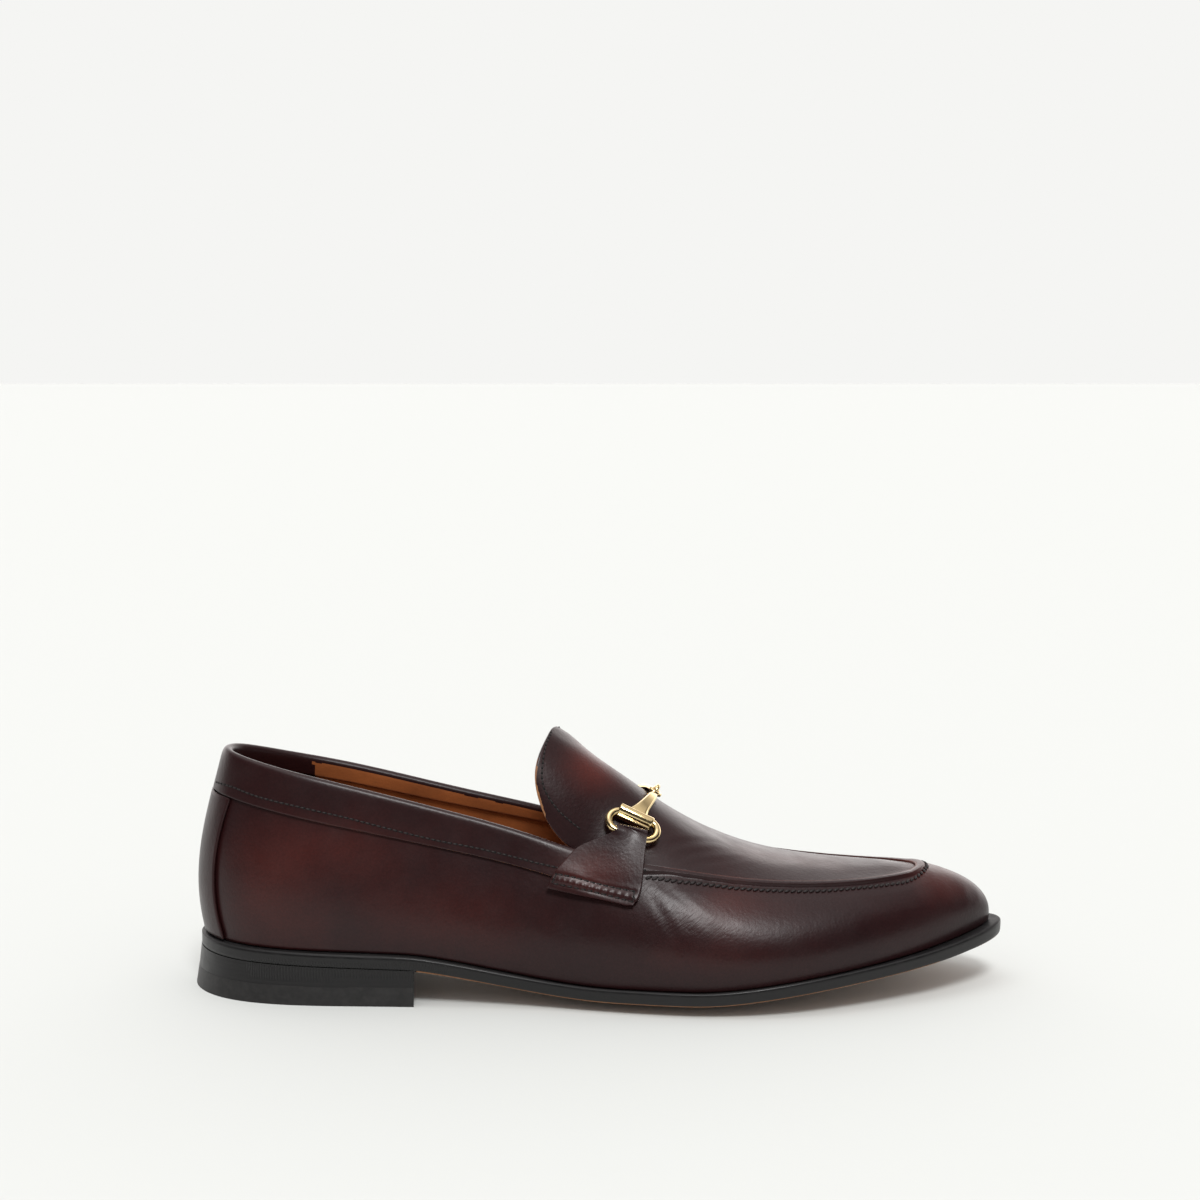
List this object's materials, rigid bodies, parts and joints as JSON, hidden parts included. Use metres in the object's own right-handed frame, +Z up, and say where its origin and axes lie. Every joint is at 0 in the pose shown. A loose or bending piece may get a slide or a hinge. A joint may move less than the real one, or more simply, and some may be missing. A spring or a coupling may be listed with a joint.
{
  "type": "bit loafer",
  "caption": "Slip-on dress shoe with a hollow leather upper, raised apron seam, long tongue, folded collar band, low stacked heel and a metal bit linked between two side straps",
  "frame": {"origin": "on the floor, at the middle of the footprint", "axes": "+X from the heel to the toe, +Y towards the inner side of the foot, +Z up"},
  "size_m": [0.2993, 0.0998, 0.095],
  "materials": {
    "calf_leather": "smooth calf, satin",
    "lining_leather": "smooth, dull",
    "edge_leather": "waxed edge, satin",
    "heel_rubber": "dull",
    "gilt_metal": "polished"
  },
  "bodies": {
    "root": {"outsole": "edge_leather", "heel_stack": "edge_leather", "heel_top_piece": "heel_rubber", "insole": "lining_leather", "upper": "calf_leather", "apron_tongue": "calf_leather", "collar_band": "calf_leather", "heel_counter": "calf_leather", "strap_lateral": "calf_leather", "strap_medial": "calf_leather", "bit_ring_lateral": "gilt_metal", "bit_ring_medial": "gilt_metal", "bit_half_lateral": "gilt_metal", "bit_half_medial": "gilt_metal"}
  },
  "joints": []
}
